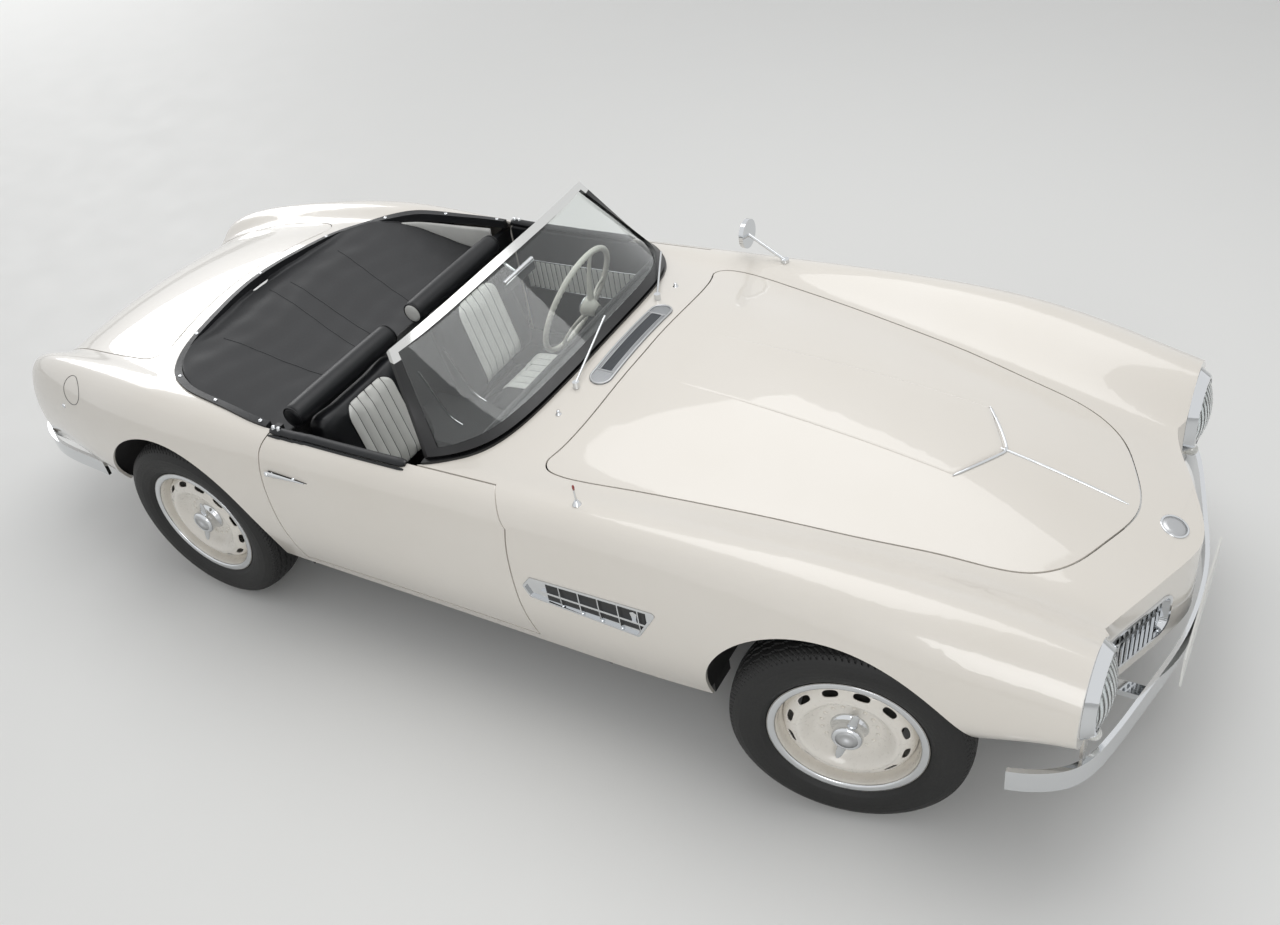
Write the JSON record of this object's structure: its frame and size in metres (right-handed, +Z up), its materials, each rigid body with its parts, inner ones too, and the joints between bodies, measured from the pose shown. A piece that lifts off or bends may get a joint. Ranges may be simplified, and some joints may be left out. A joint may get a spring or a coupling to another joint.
{
  "type": "roadster car",
  "caption": "Open sports roadster with a long hood, round headlamps, fender side vents and a low raked windscreen.",
  "frame": {"origin": "on the ground, at the middle of the car's length and width", "axes": "+X forward along the car, +Y to the car's left, +Z up"},
  "size_m": [4.3801, 1.732, 1.1667],
  "materials": {
    "body_paint": "gloss",
    "underbody": "satin",
    "engine": "matte",
    "exhaust_steel": "satin",
    "tyre": "matte",
    "wheel_paint": "gloss",
    "chrome": "polished",
    "glass": "clear",
    "lamp_lens": "gloss",
    "black_rubber": "matte",
    "leather": "satin",
    "cloth": "matte",
    "ivory": "gloss",
    "satin_metal": "satin",
    "plate": "satin"
  },
  "bodies": {
    "chassis": {"antenna": "chrome", "body_shell": "body_paint", "bumper_front": "chrome", "bumper_rear": "chrome", "chassis_rails": "underbody", "cockpit_trim": "leather", "cowl_vent": "satin_metal", "cross_members": "underbody", "dashboard": "leather", "door_posts": "underbody", "engine": "engine", "exhaust": "exhaust_steel", "firewall": "underbody", "floor_pan": "underbody", "front_plate": "plate", "front_suspension": "underbody", "fuel_tank": "underbody", "gear_lever": "satin_metal", "gearbox": "engine", "grilles": "chrome", "headlamp_lenses": "glass", "headlamps": "chrome", "indicators": "chrome", "interior_mirror": "chrome", "luggage_floor": "underbody", "radiator": "engine", "rear_axle": "underbody", "rear_bulkhead": "underbody", "rear_cover": "cloth", "seat_left": "leather", "seat_right": "leather", "seat_runners": "underbody", "side_vents": "chrome", "steering_column": "satin_metal", "tail_lamps": "lamp_lens", "tunnel": "underbody", "wheel_housings_front": "underbody", "wheel_housings_rear": "underbody", "windscreen_frame": "chrome", "windscreen_glass": "glass", "windscreen_seal": "black_rubber", "wing_mirror": "chrome", "wipers": "chrome"},
    "door_left": {"door_left": "body_paint", "door_handle_left": "chrome"},
    "door_right": {"door_right": "body_paint", "door_handle_right": "chrome"},
    "hood": {"hood": "body_paint"},
    "trunk_lid": {"trunk_lid": "body_paint"},
    "knuckle_left": {"knuckle_left": "underbody"},
    "knuckle_right": {"knuckle_right": "underbody"},
    "steering_wheel": {"steering_wheel": "ivory"},
    "wheel_front_left": {"wheel_front_left": "wheel_paint", "tyre_front_left": "tyre"},
    "wheel_front_right": {"wheel_front_right": "wheel_paint", "tyre_front_right": "tyre"},
    "wheel_rear_left": {"wheel_rear_left": "wheel_paint", "tyre_rear_left": "tyre"},
    "wheel_rear_right": {"wheel_rear_right": "wheel_paint", "tyre_rear_right": "tyre"}
  },
  "joints": [
    {"name": "hood_hinge", "type": "hinge", "parent": "chassis", "child": "hood", "pos_m": [0.399, 0, 0.90885], "axis": [0, -1, 0], "range_deg": [0, 50]},
    {"name": "trunk_hinge", "type": "hinge", "parent": "chassis", "child": "trunk_lid", "pos_m": [-1.33, 0, 0.838], "axis": [0, 1, 0], "range_deg": [0, 70]},
    {"name": "door_left_hinge", "type": "hinge", "parent": "chassis", "child": "door_left", "pos_m": [0.44, 0.796, 0.59], "axis": [0, 0, -1], "range_deg": [0, 65]},
    {"name": "door_right_hinge", "type": "hinge", "parent": "chassis", "child": "door_right", "pos_m": [0.44, -0.796, 0.59], "axis": [0, 0, 1], "range_deg": [0, 65]},
    {"name": "steer_left", "type": "hinge", "parent": "chassis", "child": "knuckle_left", "pos_m": [1.4, 0.64, 0.343], "axis": [0, 0, 1], "range_deg": [-43.4, 20.6]},
    {"name": "steer_right", "type": "hinge", "parent": "chassis", "child": "knuckle_right", "pos_m": [1.4, -0.64, 0.343], "axis": [0, 0, 1], "range_deg": [-43.4, 20.6]},
    {"name": "steering_wheel_turn", "type": "hinge", "parent": "chassis", "child": "steering_wheel", "pos_m": [-0.052, 0.34, 0.802], "axis": [-0.9277, 0, 0.3734], "range_deg": [-694.9, 330.1]},
    {"name": "wheel_front_left_spin", "type": "hinge", "parent": "knuckle_left", "child": "wheel_front_left", "pos_m": [1.38369, 0.72087, 0.343], "axis": [-0.1977, 0.9803, 0], "continuous": true},
    {"name": "wheel_front_right_spin", "type": "hinge", "parent": "knuckle_right", "child": "wheel_front_right", "pos_m": [1.41631, -0.72087, 0.343], "axis": [-0.1977, 0.9803, 0], "continuous": true},
    {"name": "wheel_rear_left_spin", "type": "hinge", "parent": "chassis", "child": "wheel_rear_left", "pos_m": [-1.08, 0.7125, 0.343], "axis": [0, 1, 0], "continuous": true},
    {"name": "wheel_rear_right_spin", "type": "hinge", "parent": "chassis", "child": "wheel_rear_right", "pos_m": [-1.08, -0.7125, 0.343], "axis": [0, 1, 0], "continuous": true}
  ],
  "couplings": [
    {"joint": "steer_right", "follows": "steer_left", "ratio": 1},
    {"joint": "steering_wheel_turn", "follows": "steer_left", "ratio": 16}
  ]
}
